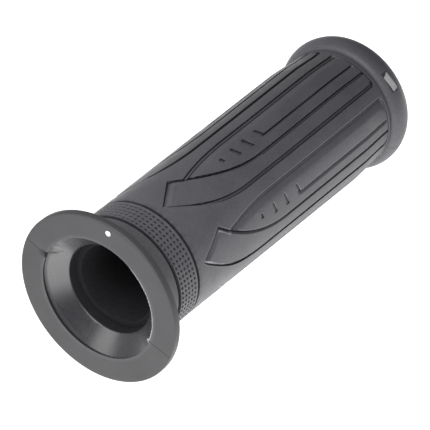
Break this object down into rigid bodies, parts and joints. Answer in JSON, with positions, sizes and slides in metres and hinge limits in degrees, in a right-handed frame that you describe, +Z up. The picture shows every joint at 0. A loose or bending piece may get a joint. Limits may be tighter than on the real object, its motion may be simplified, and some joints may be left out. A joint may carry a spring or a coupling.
{
  "type": "throttle grip",
  "caption": "Rubber twist-grip with a wide inboard flange, a knurled ring, leaf-shaped lines carved round the sleeve and a rounded outboard end, on a tube that turns on a handlebar liner.",
  "frame": {"origin": "on the handlebar's axis, half way along the grip's overall length", "axes": "+X along the bar from the inboard flange to the outboard end, +Z up, +Y forward as the bike points; a right-hand grip"},
  "size_m": [0.12, 0.0486, 0.0486],
  "materials": {
    "rubber": "satin moulded rubber, dark neutral grey with fine grain",
    "tube_plastic": "semi-gloss dark moulded plastic",
    "liner_plastic": "matte black low-friction plastic",
    "badge": "plain satin silver",
    "marking_paint": "white marking paint"
  },
  "bodies": {
    "liner": {"bar_liner": "liner_plastic"},
    "grip": {"throttle_tube": "tube_plastic", "flange_collar": "rubber", "knurled_ring": "rubber", "grip_sleeve": "rubber", "end_ring": "rubber", "end_badge": "badge", "paint_dot": "marking_paint"}
  },
  "joints": [
    {"name": "twist", "type": "hinge", "parent": "liner", "child": "grip", "pos_m": [0, 0, 0], "axis": [1, 0, 0], "range_deg": [0, 75]}
  ]
}
